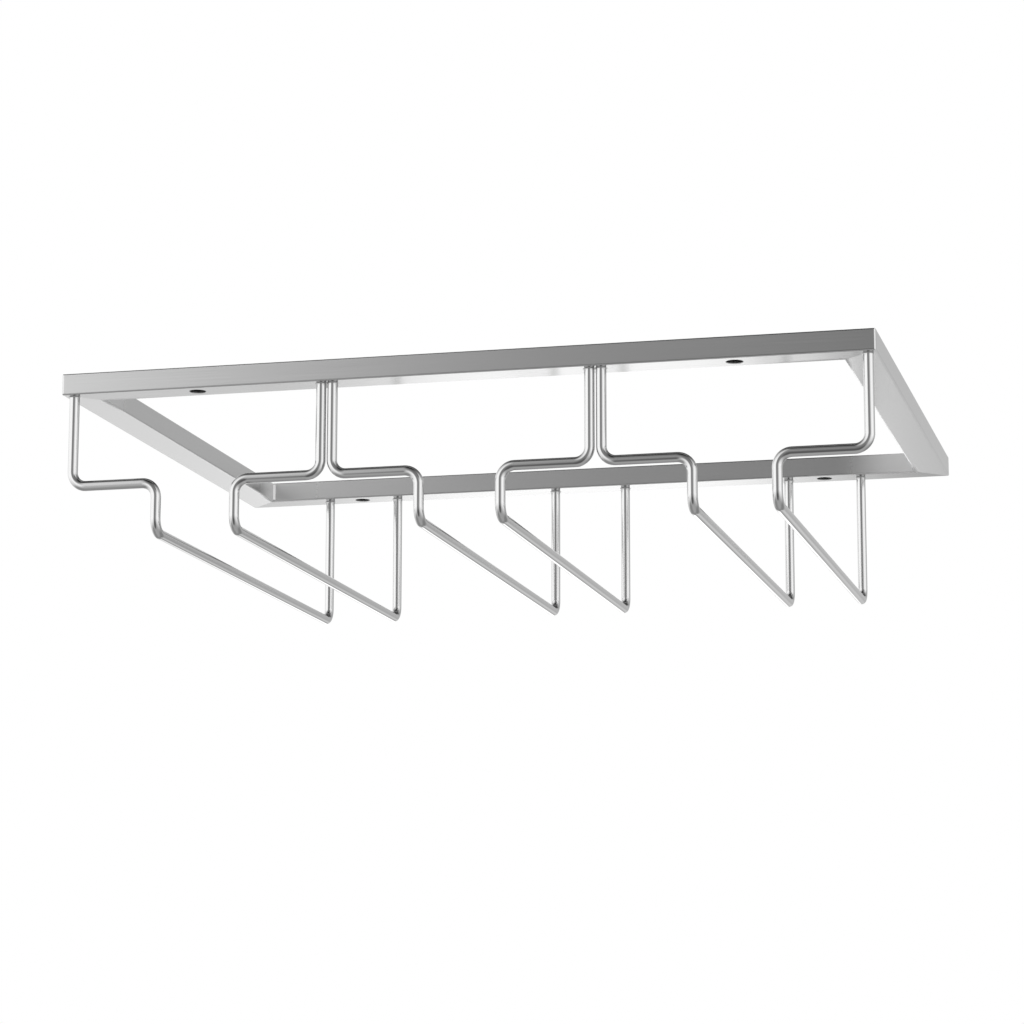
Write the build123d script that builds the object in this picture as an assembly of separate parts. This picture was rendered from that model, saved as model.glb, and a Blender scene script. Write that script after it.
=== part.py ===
"""A hanging rack for wine glasses: a flat frame of mitred steel tube that is screwed up under a
shelf, with bent wires below it. Each pair of wires is one track: the feet of the glasses
stand on the two long runs, and the stems hang down through the slot between them.

Millimetres. +Z is up and +Y is the back, away from the side where the glasses go in.
The origin is the centre of the frame's top face, which lies against the shelf.
"""
import os
from build123d import *

# Frame: four lengths of rectangular tube
rack_width = 400.0
rack_depth = 300.0
rail_width = 17.0
rail_height = 10.5
rail_wall = 1.2
rail_edge_radius = 0.8
bore_edge_radius = 0.4
frame_corner_radius = 1.2

# Screw holes in the front and back rails: small in the top wall, large enough for the
# screw's head and the driver in the bottom wall
screw_hole_diameter = 4.5
access_hole_diameter = 8.0
screw_end_inset = 67.5
hole_chamfer = 0.3
drill_overrun = 1.0

# Weld in each inner corner of the frame
weld_leg = 1.1

# Wires: two to a track, and neighbouring tracks nearly touch
track_count = 3
wire_diameter = 5.0
bend_radius = 7.0
end_inset = 4.5
face_inset = 6.5
neighbour_gap = 0.7
slot_width = 35.0
jog_depth = 44.7
step_height = 24.3

# Places worked out from the sizes above
wire_radius = wire_diameter / 2
underside = -rail_height
jog_level = underside - jog_depth
run_level = jog_level - step_height
front_wire_y = -rack_depth / 2 + face_inset
back_wire_y = rack_depth / 2 - face_inset
neighbour_pitch = wire_diameter + neighbour_gap
uprights_span = rack_width - end_inset * 2 - neighbour_pitch * (track_count - 1)
track_width = uprights_span / track_count
track_pitch = track_width + neighbour_pitch
run_spacing = slot_width + wire_diameter


def tube_section():
    """The rail's cross-section, centred on the tube."""
    outer = RectangleRounded(rail_width, rail_height, rail_edge_radius)
    bore_width = rail_width - rail_wall * 2
    bore_height = rail_height - rail_wall * 2
    return outer - RectangleRounded(bore_width, bore_height, bore_edge_radius)


def mitred_rail(length):
    """A tube along X with its outer face on y = 0 and its top on z = 0, mitred at both ends."""
    centre = Pos(rail_width / 2, -rail_height / 2)
    start = Plane.YZ.offset(-length / 2)
    rail = extrude(start * centre * tube_section(), amount=length)
    for side in (-1, 1):
        mitre = Plane(origin=(side * length / 2, 0, 0), z_dir=(-side, -1, 0))
        rail = split(rail, bisect_by=mitre, keep=Keep.TOP)
    return rail


def drilled_hole(radius, mouth_z, outward):
    """A hole through one wall of a rail, from its outer face at mouth_z, with a broken edge."""
    wall_middle = mouth_z - outward * rail_wall / 2
    bore = Pos(0, 0, wall_middle) * Cylinder(radius, rail_wall + drill_overrun * 2)
    wide, narrow = radius + hole_chamfer, radius
    lower, upper = (narrow, wide) if outward > 0 else (wide, narrow)
    broken_edge = Pos(0, 0, mouth_z - outward * hole_chamfer / 2) * Cone(lower, upper, hole_chamfer)
    return bore + broken_edge


def screw_holes():
    """The two screw holes of a long rail, each with its access hole below."""
    hole = drilled_hole(screw_hole_diameter / 2, 0, 1)
    hole += drilled_hole(access_hole_diameter / 2, underside, -1)
    hole_x = rack_width / 2 - screw_end_inset
    drills = Part()
    for side in (-1, 1):
        drills += Pos(side * hole_x, rail_width / 2, 0) * hole
    return drills


def frame_rails():
    """The four rails in their places, by name, with the frame's outer corners ground round."""
    long_rail = mitred_rail(rack_width) - screw_holes()
    short_rail = mitred_rail(rack_depth)
    placed = {
        "front_rail": Pos(0, -rack_depth / 2, 0) * long_rail,
        "back_rail": Pos(0, rack_depth / 2, 0) * Rot(0, 0, 180) * long_rail,
        "left_rail": Pos(-rack_width / 2, 0, 0) * Rot(0, 0, -90) * short_rail,
        "right_rail": Pos(rack_width / 2, 0, 0) * Rot(0, 0, 90) * short_rail,
    }
    outline = RectangleRounded(rack_width, rack_depth, frame_corner_radius)
    envelope = extrude(outline, amount=-rail_height)
    return {name: rail & envelope for name, rail in placed.items()}


def corner_weld(side_x, side_y):
    """The flat-faced weld in one inner corner, as long as the flat of the rails' inner faces."""
    corner_x = side_x * (rack_width / 2 - rail_width)
    corner_y = side_y * (rack_depth / 2 - rail_width)
    section = Polyline(
        (corner_x, corner_y),
        (corner_x - side_x * weld_leg, corner_y),
        (corner_x, corner_y - side_y * weld_leg),
        close=True,
    )
    length = rail_height - rail_edge_radius * 2
    bead = extrude(make_face(section), amount=length, dir=(0, 0, 1))
    return Pos(0, 0, underside + rail_edge_radius) * bead


def corner_welds():
    """The four corner welds, by name."""
    welds = {}
    for end, side_y in (("front", -1), ("back", 1)):
        for hand, side_x in (("left", -1), ("right", 1)):
            welds[f"{end}_{hand}_corner_weld"] = corner_weld(side_x, side_y)
    return welds


def bent_wire(upright_x, run_x):
    """One wire: down from the front rail, across, down a step, back, and up to the back rail."""
    path = FilletPolyline(
        (upright_x, front_wire_y, underside),
        (upright_x, front_wire_y, jog_level),
        (run_x, front_wire_y, jog_level),
        (run_x, front_wire_y, run_level),
        (run_x, back_wire_y, run_level),
        (run_x, back_wire_y, underside),
        radius=bend_radius,
    )
    section = Plane(origin=path @ 0, z_dir=path % 0) * Circle(wire_radius)
    return sweep(section, path=path)


def track_wires():
    """The left and right wire of each track, by name, from the left end of the rack."""
    first_centre = -track_pitch * (track_count - 1) / 2
    wires = {}
    for track in range(track_count):
        centre_x = first_centre + track_pitch * track
        for hand, side in (("left", -1), ("right", 1)):
            upright_x = centre_x + side * track_width / 2
            run_x = centre_x + side * run_spacing / 2
            wires[f"track_{track + 1}_{hand}_wire"] = bent_wire(upright_x, run_x)
    return wires


os.makedirs("parts", exist_ok=True)
pieces = frame_rails() | corner_welds() | track_wires()
for name, piece in pieces.items():
    piece.label = name
    export_step(piece, f"parts/{name}.step")
print(f"{len(pieces)} pieces, track pitch {track_pitch:.2f}, {abs(run_level) + wire_radius:.1f} high")
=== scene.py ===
"""The looks of a hanging rack for wine glasses: a frame of brushed tube with bright bent wires.

Metres and degrees. +Z is up and +Y is the back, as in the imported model. The frame is screwed up
under a shelf, and glasses hang by their feet on three pairs of wires below it.
"""
import logging
import math
from collections.abc import Iterator
from dataclasses import dataclass
from enum import Enum

import bmesh
import bpy
from mathutils import Euler, Matrix, Vector


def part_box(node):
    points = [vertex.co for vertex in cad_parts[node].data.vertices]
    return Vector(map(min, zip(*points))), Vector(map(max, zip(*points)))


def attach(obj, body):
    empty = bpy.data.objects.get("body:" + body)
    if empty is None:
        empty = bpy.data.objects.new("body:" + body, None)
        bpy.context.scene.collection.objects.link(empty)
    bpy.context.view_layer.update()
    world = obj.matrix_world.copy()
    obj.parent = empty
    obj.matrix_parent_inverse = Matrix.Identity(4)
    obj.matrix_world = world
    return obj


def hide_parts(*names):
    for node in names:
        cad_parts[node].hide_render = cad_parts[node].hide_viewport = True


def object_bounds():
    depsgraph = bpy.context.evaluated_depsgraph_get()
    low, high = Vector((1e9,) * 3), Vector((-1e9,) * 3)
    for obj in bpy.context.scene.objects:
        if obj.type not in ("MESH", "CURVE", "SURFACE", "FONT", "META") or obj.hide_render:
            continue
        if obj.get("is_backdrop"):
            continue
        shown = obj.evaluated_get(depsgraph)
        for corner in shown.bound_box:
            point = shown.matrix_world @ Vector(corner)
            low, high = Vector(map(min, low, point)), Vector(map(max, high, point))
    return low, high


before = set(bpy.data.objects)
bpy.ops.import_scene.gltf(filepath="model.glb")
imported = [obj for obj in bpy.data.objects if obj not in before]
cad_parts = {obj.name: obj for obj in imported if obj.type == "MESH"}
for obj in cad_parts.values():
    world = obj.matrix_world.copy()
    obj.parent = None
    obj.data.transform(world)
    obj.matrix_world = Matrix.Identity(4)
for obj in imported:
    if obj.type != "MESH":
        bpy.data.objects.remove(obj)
cad_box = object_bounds()

log = logging.getLogger("wine_glass_rack")

MM = 0.001
RIDES_ON = "root"


class Axis(Enum):
    """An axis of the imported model, with its unit vector."""

    X = (1.0, 0.0, 0.0)
    Y = (0.0, 1.0, 0.0)
    Z = (0.0, 0.0, 1.0)

    @property
    def vector(self) -> Vector:
        """The axis as a vector."""
        return Vector(self.value)


class Hand(Enum):
    """The two wires of a track. The value is the way from the upright to the run, along X."""

    LEFT = 1
    RIGHT = -1


def linear_colour(srgb: str) -> tuple[float, float, float, float]:
    """Turns an sRGB hex colour to linear RGBA.

    Args:
        srgb: Six hex digits, such as "c8c8c6".

    Returns:
        Red, green and blue in linear light, and full alpha.
    """
    channels = [int(srgb[start:start + 2], 16) / 255 for start in (0, 2, 4)]
    red, green, blue = (
        value / 12.92 if value <= 0.04045 else ((value + 0.055) / 1.055) ** 2.4 for value in channels
    )
    return red, green, blue, 1.0


def add_node(
    tree: bpy.types.NodeTree,
    kind: str,
    settings: dict[str, object] | None = None,
    inputs: dict[str | int, object] | None = None,
) -> bpy.types.Node:
    """Adds a node with its settings and links.

    Args:
        tree: The node tree that gets the node.
        kind: The node's type.
        settings: Values of the node's own properties, by name.
        inputs: What each input gets, by the input's name or number: a value, or a socket to link.

    Returns:
        The new node.
    """
    node = tree.nodes.new(kind)
    for name, value in (settings or {}).items():
        setattr(node, name, value)
    for name, value in (inputs or {}).items():
        if isinstance(value, bpy.types.NodeSocket):
            tree.links.new(value, node.inputs[name])
        else:
            node.inputs[name].default_value = value
    return node


def new_material(name: str) -> tuple[bpy.types.Material, bpy.types.NodeTree]:
    """Makes an empty node material.

    Args:
        name: The material's name.

    Returns:
        The material and its node tree.
    """
    material = bpy.data.materials.new(name)
    material.use_nodes = True
    material.node_tree.nodes.clear()
    return material, material.node_tree


def add_surface(tree: bpy.types.NodeTree, shader_inputs: dict[str | int, object]) -> None:
    """Adds a material's shader and its output.

    Args:
        tree: The material's nodes.
        shader_inputs: What the shader's inputs get.
    """
    shader = add_node(tree, "ShaderNodeBsdfPrincipled", inputs=shader_inputs)
    add_node(tree, "ShaderNodeOutputMaterial", inputs={"Surface": shader.outputs[0]})


@dataclass(frozen=True)
class SteelGrain:
    """Fine lines that run one way over a steel surface.

    Attributes:
        line_pitch: Distance from line to line, in millimetres.
        line_length: How long a line runs, in millimetres.
        groove_depth: Depth of a line, in millimetres.
        light: The steel's colour on a ridge.
        dark: The steel's colour in a groove.
        roughness: The least and most roughness along the lines.
        detail: How many finer layers the noise has that draws the lines.
    """

    line_pitch: float
    line_length: float
    groove_depth: float
    light: str
    dark: str
    roughness: tuple[float, float]
    detail: float = 2.0

    def looks(
        self, tree: bpy.types.NodeTree, place: bpy.types.NodeSocket, along: Axis
    ) -> dict[str | int, object]:
        """Draws the lines as a noise that is stretched along the grain.

        Args:
            tree: The material's nodes.
            place: The coordinates that the lines follow, in metres.
            along: The way that the lines run in those coordinates.

        Returns:
            The metal shader's inputs, with the lines in its colour, roughness and bump.
        """
        across_scale = 1 / (self.line_pitch * MM)
        along_scale = 1 / (self.line_length * MM)
        scale = [along_scale if part else across_scale for part in along.value]
        stretched = add_node(tree, "ShaderNodeMapping", inputs={"Vector": place, "Scale": scale})
        lines = add_node(
            tree,
            "ShaderNodeTexNoise",
            inputs={"Vector": stretched.outputs[0], "Scale": 1.0, "Detail": self.detail},
        ).outputs["Fac"]
        colour = add_node(
            tree,
            "ShaderNodeMix",
            {"data_type": "RGBA"},
            {0: lines, 6: linear_colour(self.dark), 7: linear_colour(self.light)},
        )
        smooth, rough = self.roughness
        roughness = add_node(
            tree, "ShaderNodeMapRange", inputs={"Value": lines, "To Min": rough, "To Max": smooth}
        )
        grooves = add_node(
            tree,
            "ShaderNodeBump",
            inputs={"Strength": 1.0, "Distance": self.groove_depth * MM, "Height": lines},
        )
        return {
            "Base Color": colour.outputs[2],
            "Metallic": 1.0,
            "Roughness": roughness.outputs[0],
            "Normal": grooves.outputs[0],
        }


@dataclass(frozen=True)
class BrushedStainlessSteel:
    """Stainless steel tube, belt-brushed lengthwise to a satin finish.

    The belt leaves fine parallel scratches along the tube, so highlights are soft and drawn out
    across the scratches, and stay fairly crisp along them. The inner corners carry a painted
    highlight, a pale, matt and less metallic patch, stronger at one end than the other.

    Attributes:
        name: The material's name.
        along: The way that the tube and its scratches run.
        grain: The scratches.
        anisotropy: How much more the highlights spread across the scratches than along them.
        corner: Where the inner corners lie, to each side and to front and back, in millimetres.
        rubbed_reach: How far the painted highlight reaches from each inner corner, in millimetres.
        rubbed_left: How strongly the left-hand corners get the painted highlight, as a share of the
            right-hand ones.
        rubbed_colour: The pale colour painted into the corner as a highlight.
        rubbed_roughness: The roughness under the painted highlight.
        rubbed_metallic: How metallic the corner still looks under the painted highlight.
        across_weight: How much more distance counts across the tube, as the painted highlight fades.
    """

    name: str
    along: Axis
    grain: SteelGrain = SteelGrain(
        line_pitch=0.35,  # real scratches are about 0.05 mm apart, too fine to show
        line_length=45.0,
        groove_depth=0.0015,
        light="d0d0d0",
        dark="c6c6c6",
        roughness=(0.17, 0.23),
    )
    anisotropy: float = 0.8
    corner: tuple[float, float] = (183.0, 133.0)
    rubbed_reach: float = 32.0
    rubbed_left: float = 1.0
    rubbed_colour: str = "e6e6e6"
    rubbed_roughness: float = 0.7
    rubbed_metallic: float = 0.35
    across_weight: float = 10.0

    def rubbed_share(self, tree: bpy.types.NodeTree, place: bpy.types.NodeSocket) -> bpy.types.NodeSocket:
        """Works out how strongly the painted highlight shows, from the inner corners.

        Args:
            tree: The material's nodes.
            place: The frame's coordinates, in metres, from its middle.

        Returns:
            The share, from 0 along the tube to 1 in the inner corners.
        """
        # all four corners fall together once the signs are dropped
        folded = add_node(tree, "ShaderNodeVectorMath", {"operation": "ABSOLUTE"}, {0: place})
        corner_x, corner_y = self.corner
        offset = add_node(
            tree,
            "ShaderNodeVectorMath",
            {"operation": "SUBTRACT"},
            {0: folded.outputs[0], 1: (corner_x * MM, corner_y * MM, 0.0)},
        )
        # only the tube's inner face gets the painted highlight, so distance counts for more across the tube
        across = self.across_weight
        weights = (1.0, across, 0.0) if self.along is Axis.X else (across, 1.0, 0.0)
        weighted = add_node(
            tree, "ShaderNodeVectorMath", {"operation": "MULTIPLY"}, {0: offset.outputs[0], 1: weights}
        )
        distance = add_node(
            tree, "ShaderNodeVectorMath", {"operation": "LENGTH"}, {0: weighted.outputs[0]}
        )
        fading = add_node(
            tree,
            "ShaderNodeMapRange",
            {"interpolation_type": "SMOOTHSTEP"},
            {
                "Value": distance.outputs["Value"],
                "From Max": self.rubbed_reach * MM,
                "To Min": 1.0,
                "To Max": 0.0,
            },
        )
        sideways = add_node(tree, "ShaderNodeSeparateXYZ", inputs={0: place}).outputs["X"]
        strength = add_node(
            tree,
            "ShaderNodeMapRange",
            inputs={
                "Value": sideways,
                "From Min": -corner_x * MM,
                "From Max": corner_x * MM,
                "To Min": self.rubbed_left,
                "To Max": 1.0,
            },
        )
        return add_node(
            tree, "ShaderNodeMath", {"operation": "MULTIPLY"}, {0: fading.outputs[0], 1: strength.outputs[0]}
        ).outputs[0]

    def build(self) -> bpy.types.Material:
        """Makes the material.

        Returns:
            The material.
        """
        material, tree = new_material(self.name)
        place = add_node(tree, "ShaderNodeTexCoord").outputs["Object"]
        looks = self.grain.looks(tree, place, self.along)
        # painted highlight: a pale, matt, less metallic patch in the inner corners
        rubbed = self.rubbed_share(tree, place)
        colour = add_node(
            tree,
            "ShaderNodeMix",
            {"data_type": "RGBA"},
            {0: rubbed, 6: looks["Base Color"], 7: linear_colour(self.rubbed_colour)},
        )
        roughness = add_node(
            tree, "ShaderNodeMix", inputs={0: rubbed, 2: looks["Roughness"], 3: self.rubbed_roughness}
        )
        metallic = add_node(
            tree,
            "ShaderNodeMapRange",
            inputs={"Value": rubbed, "To Min": 1.0, "To Max": self.rubbed_metallic},
        )
        anisotropy = add_node(
            tree, "ShaderNodeMapRange", inputs={"Value": rubbed, "To Min": self.anisotropy, "To Max": 0.0}
        )
        lengthwise = add_node(tree, "ShaderNodeCombineXYZ", inputs=dict(zip("XYZ", self.along.value)))
        quarter_turn = 0.25
        looks |= {
            "Base Color": colour.outputs[2],
            "Metallic": metallic.outputs[0],
            "Roughness": roughness.outputs[0],
            "Anisotropic": anisotropy.outputs[0],
            "Anisotropic Rotation": quarter_turn,
            "Tangent": lengthwise.outputs[0],
        }
        add_surface(tree, looks)
        return material


@dataclass(frozen=True)
class BrightDrawnSteel:
    """Stainless steel wire, cold-drawn through a die and left bright.

    The die polishes the wire and leaves faint lines along it, so it mirrors its surroundings
    sharply, with a little streaking that follows each bend.

    Attributes:
        name: The material's name.
        grain: The lines that the die leaves.
    """

    name: str = "stainless_steel_bright_drawn"
    grain: SteelGrain = SteelGrain(
        line_pitch=1.1,  # real lines are about 0.1 mm apart, too fine to show
        line_length=60.0,
        groove_depth=0.004,
        light="d2d2d2",
        dark="cacaca",
        roughness=(0.08, 0.12),
    )

    def build(self) -> bpy.types.Material:
        """Makes the material, whose lines follow the wire's own coordinates.

        Returns:
            The material.
        """
        material, tree = new_material(self.name)
        place = add_node(tree, "ShaderNodeAttribute", {"attribute_name": TrackWires.UNBENT})
        add_surface(tree, self.grain.looks(tree, place.outputs["Vector"], Axis.Z))
        return material


@dataclass(frozen=True)
class GroundSteelWeld:
    """Stainless steel weld, ground to a flat fillet by hand.

    Hand grinding leaves short strokes up and down the fillet, a little coarser and duller than
    the brushed tube beside it.

    Attributes:
        name: The material's name.
        grain: The grinding strokes.
    """

    name: str = "stainless_steel_ground_weld"
    grain: SteelGrain = SteelGrain(
        line_pitch=0.3,
        line_length=3.0,
        groove_depth=0.002,
        light="c8c8c8",
        dark="bcbcbc",
        roughness=(0.3, 0.4),
    )

    def build(self) -> bpy.types.Material:
        """Makes the material.

        Returns:
            The material.
        """
        material, tree = new_material(self.name)
        place = add_node(tree, "ShaderNodeTexCoord")
        add_surface(tree, self.grain.looks(tree, place.outputs["Object"], Axis.Z))
        return material


@dataclass
class TubeFrame:
    """The four mitred rails and the welds in their inner corners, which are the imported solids.

    Attributes:
        lengthwise_rails: The rails that run along X.
        sideways_rails: The rails that run along Y.
        corner_welds: The four corner welds.
    """

    lengthwise_rails: tuple[str, ...] = ("front_rail", "back_rail")
    sideways_rails: tuple[str, ...] = ("left_rail", "right_rail")
    corner_welds: tuple[str, ...] = (
        "front_left_corner_weld",
        "front_right_corner_weld",
        "back_left_corner_weld",
        "back_right_corner_weld",
    )

    def dress(self) -> Iterator[bpy.types.Object]:
        """Gives each rail and weld its finish.

        Yields:
            Each rail and weld.
        """
        finishes = (
            (
                self.lengthwise_rails,
                BrushedStainlessSteel(
                    "stainless_steel_brushed_along_x",
                    Axis.X,
                    # the painted highlight in the corners reaches further here, and is weaker at the
                    # left-hand end
                    rubbed_reach=46.0,
                    rubbed_left=0.3,
                    rubbed_metallic=0.1,
                ),
            ),
            (self.sideways_rails, BrushedStainlessSteel("stainless_steel_brushed_along_y", Axis.Y)),
            (self.corner_welds, GroundSteelWeld()),
        )
        for names, finish in finishes:
            material = finish.build()
            for name in names:
                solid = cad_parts[name]
                for slot in solid.material_slots:
                    slot.material = material
                yield solid


@dataclass
class TrackWires:
    """The six bent wires, two to a track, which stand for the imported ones.

    The left wire of the first track is modelled, and the others are copies, turned over for the
    right wires. Each wire carries its unbent coordinates: where each point of its surface lay
    while the wire was still straight, across the wire in X and Y and along it in Z.

    Attributes:
        track_count: How many pairs there are.
        diameter: The wire's diameter.
        bend_radius: Radius of each bend, to the middle of the wire.
        jog_depth: How far the jog lies below the frame.
        weld_leg: Leg of the small weld round each end of the wire.
        ring_points: Points round the wire.
        bend_steps: Steps in each quarter bend.
        weld_steps: Steps in the hollow of the end weld.
    """

    track_count: int = 3
    diameter: float = 0.005
    bend_radius: float = 0.007
    jog_depth: float = 0.0447
    weld_leg: float = 0.0006
    ring_points: int = 48
    bend_steps: int = 12
    weld_steps: int = 4

    UNBENT = "unbent"
    SMOOTH_BELOW = math.radians(35)
    SAME_POINT = 0.000001

    def __post_init__(self) -> None:
        """Starts with nothing modelled."""
        self.station = 0.0

    @property
    def radius(self) -> float:
        """The wire's radius."""
        return self.diameter / 2

    def mark_ring(self) -> None:
        """Writes the distance along the wire into the selected ring's unbent coordinates."""
        mesh = bpy.context.edit_object.data
        shape = bmesh.from_edit_mesh(mesh)
        unbent = shape.verts.layers.float_vector[self.UNBENT]
        for point in shape.verts:
            if point.select:
                across = point[unbent]
                point[unbent] = (across.x, across.y, self.station)
        bmesh.update_edit_mesh(mesh)

    def run_straight(self, way: Vector, length: float) -> None:
        """Extrudes the open end straight on.

        Args:
            way: The unit vector of the wire's direction there.
            length: How far it goes.
        """
        bpy.ops.mesh.extrude_region_move(TRANSFORM_OT_translate={"value": way * length})
        self.station += length
        self.mark_ring()

    def bend(self, centre: Vector, axis: Axis, turn: float) -> None:
        """Extrudes the open end round a quarter bend, step by step.

        Args:
            centre: The centre of the bend.
            axis: The axis that the bend turns about.
            turn: 1 or -1, for the way that it turns.
        """
        step_angle = math.pi / 2 / self.bend_steps
        for _ in range(self.bend_steps):
            bpy.ops.mesh.extrude_region_move()
            bpy.ops.transform.rotate(
                value=-turn * step_angle, orient_axis=axis.name, orient_type="GLOBAL", center_override=centre
            )
            self.station += self.bend_radius * step_angle
            self.mark_ring()

    def weld_end(self, centre: Vector, way: Vector, opening: bool) -> None:
        """Extrudes the hollow weld round an end of the wire.

        Args:
            centre: The middle of the wire on the frame's underside.
            way: The wire's direction there.
            opening: True where the wire reaches the frame, and False where it leaves it.
        """
        heights = [self.weld_leg * step / self.weld_steps for step in range(self.weld_steps + 1)]
        radii = [
            self.radius + self.weld_leg - math.sqrt(self.weld_leg ** 2 - (self.weld_leg - height) ** 2)
            for height in heights
        ]
        if opening:
            radii.reverse()
        for before, after in zip(radii[:-1], radii[1:]):
            self.run_straight(way, self.weld_leg / self.weld_steps)
            ratio = after / before
            bpy.ops.transform.resize(value=(ratio, ratio, 1.0), center_override=centre)

    def model(self, name: str, node: str) -> bpy.types.Object:
        """Models the left wire of a track in the place of a packed wire.

        Args:
            name: The new piece's name.
            node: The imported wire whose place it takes.

        Returns:
            The new piece.
        """
        low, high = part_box(node)
        front_y, back_y = low.y + self.radius, high.y - self.radius
        upright_x, run_x = low.x + self.radius, high.x - self.radius
        underside, run_z = high.z, low.z + self.radius
        jog_z = underside - self.jog_depth
        bend = self.bend_radius
        down, right, back = -Axis.Z.vector, Axis.X.vector, Axis.Y.vector

        bpy.ops.object.select_all(action="DESELECT")
        bpy.ops.mesh.primitive_circle_add(
            vertices=self.ring_points,
            radius=self.radius + self.weld_leg,
            fill_type="NGON",
            location=(upright_x, front_y, underside),
        )
        wire = bpy.context.active_object
        wire.name = wire.data.name = name
        bpy.ops.object.transform_apply(location=True, rotation=False, scale=False)
        self.lay_out_unbent(wire, Vector((upright_x, front_y, underside)))

        bpy.ops.object.mode_set(mode="EDIT")
        bpy.ops.mesh.select_mode(type="VERT")
        bpy.ops.mesh.select_all(action="SELECT")
        self.station = 0.0
        self.weld_end(Vector((upright_x, front_y, underside)), down, opening=False)
        self.run_straight(down, self.jog_depth - self.weld_leg - bend)
        self.bend(Vector((upright_x + bend, front_y, jog_z + bend)), Axis.Y, -1)
        self.run_straight(right, run_x - upright_x - bend * 2)
        self.bend(Vector((run_x - bend, front_y, jog_z - bend)), Axis.Y, 1)
        self.run_straight(down, jog_z - run_z - bend * 2)
        self.bend(Vector((run_x, front_y + bend, run_z + bend)), Axis.X, 1)
        self.run_straight(back, back_y - front_y - bend * 2)
        self.bend(Vector((run_x, back_y - bend, run_z + bend)), Axis.X, 1)
        self.run_straight(-down, underside - run_z - bend - self.weld_leg)
        self.weld_end(Vector((run_x, back_y, underside)), -down, opening=True)
        bpy.ops.object.mode_set(mode="OBJECT")
        self.face_outwards(wire)
        bpy.ops.object.shade_smooth_by_angle(angle=self.SMOOTH_BELOW)
        return wire

    def face_outwards(self, wire: bpy.types.Object) -> None:
        """Merges a wire's doubled points and turns its faces outwards.

        Args:
            wire: The wire.
        """
        bpy.ops.object.select_all(action="DESELECT")
        wire.select_set(True)
        bpy.context.view_layer.objects.active = wire
        bpy.ops.object.mode_set(mode="EDIT")
        bpy.ops.mesh.select_all(action="SELECT")
        bpy.ops.mesh.remove_doubles(threshold=self.SAME_POINT)
        bpy.ops.mesh.normals_make_consistent(inside=False)
        bpy.ops.object.mode_set(mode="OBJECT")

    def lay_out_unbent(self, wire: bpy.types.Object, centre: Vector) -> None:
        """Starts the unbent coordinates from the first ring, which later rings inherit.

        Args:
            wire: The object that holds the first ring.
            centre: The ring's centre.
        """
        unbent = wire.data.attributes.new(self.UNBENT, "FLOAT_VECTOR", "POINT")
        for point, across in zip(wire.data.vertices, unbent.data):
            offset = (point.co - centre).normalized() * self.radius
            across.vector = (offset.x, offset.y, 0.0)

    def copy_to(self, wire: bpy.types.Object, name: str, node: str, hand: Hand) -> bpy.types.Object:
        """Copies the modelled wire into the place of another packed wire.

        Args:
            wire: The modelled left wire.
            name: The copy's name.
            node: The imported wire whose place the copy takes.
            hand: Which wire of its track it is.

        Returns:
            The copy, with its own mesh.
        """
        copy = wire.copy()
        copy.data = wire.data.copy()
        copy.name = copy.data.name = name
        bpy.context.scene.collection.objects.link(copy)
        across = [point.co.x for point in wire.data.vertices]
        low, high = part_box(node)
        to_middle = Matrix.Translation((-(min(across) + max(across)) / 2, 0.0, 0.0))
        turned_over = Matrix.Diagonal((hand.value, 1.0, 1.0, 1.0))
        into_place = Matrix.Translation(((low.x + high.x) / 2, 0.0, 0.0))
        copy.data.transform(into_place @ turned_over @ to_middle)
        if hand is Hand.RIGHT:
            self.face_outwards(copy)
        return copy

    def build(self) -> Iterator[bpy.types.Object]:
        """Models the wires, dresses them and puts them on the frame's body.

        Yields:
            Each wire.
        """
        finish = BrightDrawnSteel().build()
        first_wire = None
        for track in range(1, self.track_count + 1):
            for hand in Hand:
                node = f"track_{track}_{hand.name.lower()}_wire"
                name = f"{node}_drawn"
                if first_wire is None:
                    wire = first_wire = self.model(name, node)
                    wire.data.materials.append(finish)
                else:
                    wire = self.copy_to(first_wire, name, node, hand)
                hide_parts(node)
                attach(wire, RIDES_ON)
                yield wire


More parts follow.
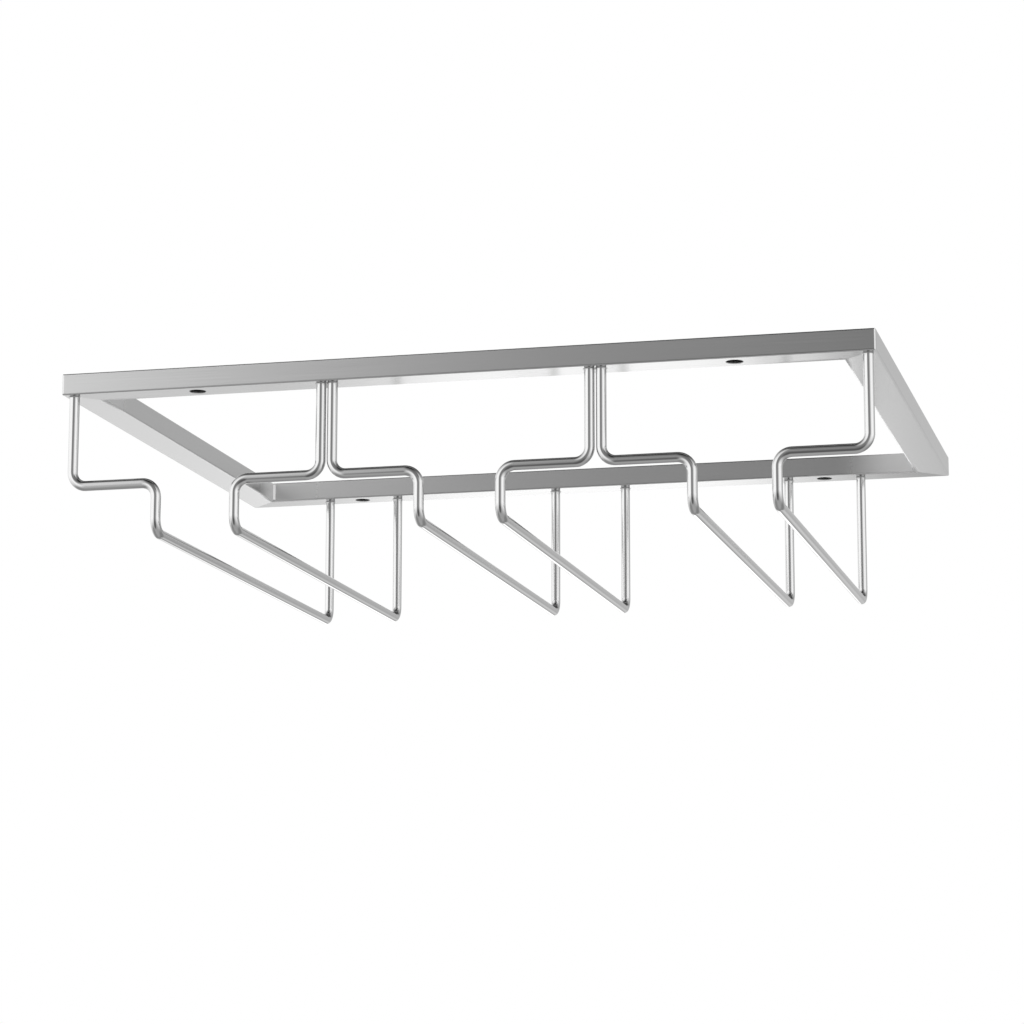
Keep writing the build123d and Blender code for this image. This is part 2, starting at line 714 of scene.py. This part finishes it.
@dataclass(frozen=True)
class StudioCard:
    """A soft-edged card in the studio that the metal mirrors.

    Attributes:
        around: Where its middle stands, in degrees to the left of the front.
        height: Where its middle stands, in degrees above the horizon.
        half_width: Half its width, in degrees.
        half_height: Half its height, in degrees.
        softness: How far its edge fades to each side, in degrees.
        tone: Its tone, as a share of the side panels' strength.
    """

    around: float
    height: float
    half_width: float
    half_height: float
    softness: float
    tone: float

    def cover(
        self, tree: bpy.types.NodeTree, angle: bpy.types.NodeSocket, middle: float, half_span: float
    ) -> bpy.types.NodeSocket:
        """Works out how far the card covers a direction, by one of its two angles.

        Args:
            tree: The world's nodes.
            angle: The direction's angle, in radians.
            middle: The card's middle, in degrees.
            half_span: Half the card's span, in degrees.

        Returns:
            The cover, from 0 to 1.
        """
        centre = math.radians(middle)
        near = add_node(
            tree,
            "ShaderNodeMath",
            {"operation": "WRAP"},
            {0: angle, 1: centre + math.pi, 2: centre - math.pi},
        )
        away = add_node(tree, "ShaderNodeMath", {"operation": "SUBTRACT"}, {0: near.outputs[0], 1: centre})
        distance = add_node(tree, "ShaderNodeMath", {"operation": "ABSOLUTE"}, {0: away.outputs[0]})
        return add_node(
            tree,
            "ShaderNodeMapRange",
            {"interpolation_type": "SMOOTHSTEP"},
            {
                "Value": distance.outputs[0],
                "From Min": math.radians(half_span - self.softness),
                "From Max": math.radians(half_span + self.softness),
                "To Min": 1.0,
                "To Max": 0.0,
            },
        ).outputs[0]

    def put_up(
        self,
        tree: bpy.types.NodeTree,
        behind: bpy.types.NodeSocket,
        around: bpy.types.NodeSocket,
        height: bpy.types.NodeSocket,
    ) -> bpy.types.NodeSocket:
        """Puts the card in front of what is there already.

        Args:
            tree: The world's nodes.
            behind: The tone behind the card.
            around: The direction's angle to the left of the front, in radians.
            height: The direction's angle above the horizon, in radians.

        Returns:
            The tone with the card.
        """
        sideways = self.cover(tree, around, self.around, self.half_width)
        upwards = self.cover(tree, height, self.height, self.half_height)
        cover = add_node(tree, "ShaderNodeMath", {"operation": "MULTIPLY"}, {0: sideways, 1: upwards})
        colour = (self.tone, self.tone, self.tone, 1.0)
        return add_node(
            tree, "ShaderNodeMix", {"data_type": "RGBA"}, {0: cover.outputs[0], 6: behind, 7: colour}
        ).outputs[2]


@dataclass(frozen=True)
class StudioSurroundings:
    """The soft studio light round the rack, which is also all that its metal mirrors.

    Tall white panels stand left and right. Between them, in front, is a dark gap where the camera
    stands. A dark ring hangs round a small light panel overhead, and the floor is grey. The
    camera itself sees plain white.

    Attributes:
        strength: The strength of the side panels.
        height_tones: Tone by height above the horizon, in degrees, as shares of the strength.
        around_tones: Tone by direction from the front, to the left positive, as such shares.
        around_shares: How much the tones by direction count, by height.
        cards: Cards that stand in front of all that.
    """

    strength: float = 1.5
    height_tones: tuple[tuple[float, float], ...] = (
        (-90, 0.36),
        (-52, 0.34),
        (-35, 0.45),
        (-15, 0.76),
        (3, 1.0),
        (22, 0.95),
        (45, 0.58),
        (55, 0.26),
        (64, 0.05),
        (72, 0.01),
        (80, 0.01),
        (90, 0.3),
    )
    around_tones: tuple[tuple[float, float], ...] = (
        (-180, 0.42),
        (-165, 0.41),
        (-140, 0.38),
        (-118, 0.5),
        (-95, 0.85),
        (-80, 1.0),
        (-58, 0.97),
        (-40, 0.82),
        (-25, 0.32),
        (-5, 0.2),
        (6, 0.19),
        (11, 0.22),
        (15, 0.34),
        (20, 0.6),
        (24, 0.84),
        (28, 1.03),
        (92, 1.0),
        (110, 0.8),
        (150, 0.66),
        (172, 0.6),
        (180, 0.42),
    )
    around_shares: tuple[tuple[float, float], ...] = (
        (-90, 0),
        (-60, 0),
        (-36, 1),
        (62, 1),
        (82, 0),
        (90, 0),
    )
    cards: tuple[StudioCard, ...] = (
        StudioCard(around=-3, height=-38, half_width=23, half_height=19, softness=10, tone=0.1),
        StudioCard(around=-38, height=42, half_width=14, half_height=14, softness=9, tone=0.13),
        StudioCard(around=177, height=58, half_width=44, half_height=26, softness=9, tone=0.05),
        StudioCard(around=105, height=-52, half_width=50, half_height=20, softness=12, tone=0.25),
        StudioCard(around=-138, height=-27, half_width=15, half_height=17, softness=6, tone=0.22),
        StudioCard(around=-175, height=-22, half_width=10, half_height=16, softness=6, tone=0.56),
        StudioCard(around=160, height=-32, half_width=22, half_height=21, softness=9, tone=0.25),
        StudioCard(around=163, height=-14.5, half_width=9, half_height=13, softness=3, tone=0.62),
        StudioCard(around=167.4, height=-11, half_width=3.7, half_height=9.5, softness=2.2, tone=1.16),
        StudioCard(around=10.5, height=15, half_width=2.5, half_height=12, softness=2, tone=0.27),
    )

    STRAIGHT_UP = 90.0
    STRAIGHT_BEHIND = 180.0

    @staticmethod
    def tone_ramp(
        tree: bpy.types.NodeTree,
        angle: bpy.types.NodeSocket,
        half_span: float,
        tones: tuple[tuple[float, float], ...],
    ) -> bpy.types.NodeSocket:
        """Draws tones by an angle.

        Args:
            tree: The world's nodes.
            angle: The angle, in radians.
            half_span: The angle in degrees at the ends of the ramp.
            tones: Angles in degrees and the tone at each, from one end of the ramp to the other.

        Returns:
            The tone.
        """
        share = add_node(
            tree,
            "ShaderNodeMapRange",
            inputs={
                "Value": angle,
                "From Min": -math.radians(half_span),
                "From Max": math.radians(half_span),
            },
        )
        ramp = add_node(tree, "ShaderNodeValToRGB", inputs={"Fac": share.outputs[0]})
        stops = ramp.color_ramp.elements
        for number, (degrees, tone) in enumerate(tones):
            position = (degrees + half_span) / (half_span * 2)
            stop = stops[number] if number in (0, len(tones) - 1) else stops.new(position)
            stop.color = (tone, tone, tone, 1.0)
        return ramp.outputs["Color"]

    def build(self) -> None:
        """Makes the world."""
        world = bpy.data.worlds.new("studio_surroundings")
        bpy.context.scene.world = world
        world.use_nodes = True
        tree = world.node_tree
        tree.nodes.clear()
        way = add_node(tree, "ShaderNodeTexCoord").outputs["Generated"]
        along = add_node(tree, "ShaderNodeSeparateXYZ", inputs={0: way}).outputs
        height = add_node(tree, "ShaderNodeMath", {"operation": "ARCSINE"}, {0: along["Z"]}).outputs[0]
        reverse = add_node(tree, "ShaderNodeVectorMath", {"operation": "SCALE"}, {0: way, "Scale": -1.0})
        to_front = add_node(tree, "ShaderNodeSeparateXYZ", inputs={0: reverse.outputs[0]}).outputs
        around = add_node(
            tree, "ShaderNodeMath", {"operation": "ARCTAN2"}, {0: to_front["X"], 1: to_front["Y"]}
        ).outputs[0]
        tone = add_node(
            tree,
            "ShaderNodeMix",
            {"data_type": "RGBA", "blend_type": "MULTIPLY"},
            {
                0: self.tone_ramp(tree, height, self.STRAIGHT_UP, self.around_shares),
                6: self.tone_ramp(tree, height, self.STRAIGHT_UP, self.height_tones),
                7: self.tone_ramp(tree, around, self.STRAIGHT_BEHIND, self.around_tones),
            },
        ).outputs[2]
        for card in self.cards:
            tone = card.put_up(tree, tone, around, height)
        studio = add_node(tree, "ShaderNodeBackground", inputs={"Color": tone, "Strength": self.strength})
        white = add_node(
            tree, "ShaderNodeBackground", inputs={"Color": linear_colour("ffffff"), "Strength": 1.0}
        )
        seen = add_node(tree, "ShaderNodeLightPath").outputs["Is Camera Ray"]
        both = add_node(
            tree, "ShaderNodeMixShader", inputs={0: seen, 1: studio.outputs[0], 2: white.outputs[0]}
        )
        add_node(tree, "ShaderNodeOutputWorld", inputs={"Surface": both.outputs[0]})


@dataclass(frozen=True)
class StudioFloor:
    """A plain pale floor, far enough below the rack that views from below still see the rack.

    Attributes:
        drop: How far the floor lies below the frame's top.
        radius: The floor's radius.
        colour: The floor's colour.
        roughness: The floor's roughness.
        lift: What is added to the floor's tone where the camera looks at it.
        side_count: The number of its sides.
    """

    drop: float = 1.8
    radius: float = 12.0
    colour: str = "fafafa"
    roughness: float = 0.9
    lift: float = 0.42
    side_count: int = 96

    def build(self) -> None:
        """Makes the floor, which belongs to the studio and not to the rack."""
        bpy.ops.object.select_all(action="DESELECT")
        bpy.ops.mesh.primitive_circle_add(
            vertices=self.side_count, radius=self.radius, fill_type="NGON", location=(0.0, 0.0, -self.drop)
        )
        floor = bpy.context.active_object
        floor.name = "studio_floor"
        material, tree = new_material("matt_white_paper")
        seen = add_node(tree, "ShaderNodeLightPath").outputs["Is Camera Ray"]
        lift = add_node(
            tree, "ShaderNodeMapRange", inputs={"Value": seen, "To Min": 0.0, "To Max": self.lift}
        )
        add_surface(
            tree,
            {
                "Base Color": linear_colour(self.colour),
                "Roughness": self.roughness,
                "Emission Color": linear_colour("ffffff"),
                "Emission Strength": lift.outputs[0],
            },
        )
        floor.data.materials.append(material)
        floor.visible_glossy = False
        floor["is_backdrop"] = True


@dataclass(frozen=True)
class StudioCamera:
    """The camera, in front of the rack, to its right and well below it.

    Attributes:
        place: Where the camera stands.
        turn: How far it is turned to the left, in degrees.
        tilt: How far it is tilted up, in degrees.
        roll: How far it is rolled to the left, in degrees.
        focal_pixels: The focal length in pixels of the picture.
        picture_pixels: The picture's width in pixels.
        sensor_width: The sensor's width, in millimetres.
    """

    place: tuple[float, float, float] = (0.38807, -1.60654, -0.3673)
    turn: float = 13.909
    tilt: float = 10.877
    roll: float = 0.085
    focal_pixels: float = 3257.05
    picture_pixels: float = 1024.0
    sensor_width: float = 36.0

    def build(self) -> None:
        """Makes the camera, and makes it the scene's own."""
        camera_data = bpy.data.cameras.new("studio_camera")
        camera_data.sensor_width = self.sensor_width
        camera_data.lens = self.focal_pixels / self.picture_pixels * self.sensor_width
        camera = bpy.data.objects.new("studio_camera", camera_data)
        camera.location = self.place
        level = 90.0
        aim = Euler((math.radians(level + self.tilt), 0.0, math.radians(self.turn))).to_matrix()
        rolled = Matrix.Rotation(math.radians(self.roll), 3, Axis.Z.name)
        camera.rotation_euler = (aim @ rolled).to_euler()
        bpy.context.scene.collection.objects.link(camera)
        bpy.context.scene.camera = camera


def write_sizes() -> None:
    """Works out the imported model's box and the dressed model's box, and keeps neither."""
    boxes = [[list(corner) for corner in box] for box in (cad_box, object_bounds())]


def main() -> None:
    """Builds the camera, the studio and the rack, and reports each piece."""
    logging.basicConfig(level=logging.INFO, format="%(name)s: %(message)s")
    bpy.context.scene.view_settings.view_transform = "Standard"
    StudioCamera().build()
    StudioSurroundings().build()
    StudioFloor().build()
    for sub_assembly in (TubeFrame().dress(), TrackWires().build()):
        for piece in sub_assembly:
            log.info("%s: %d points", piece.name, len(piece.data.vertices))
    write_sizes()


if __name__ == "__main__":
    main()
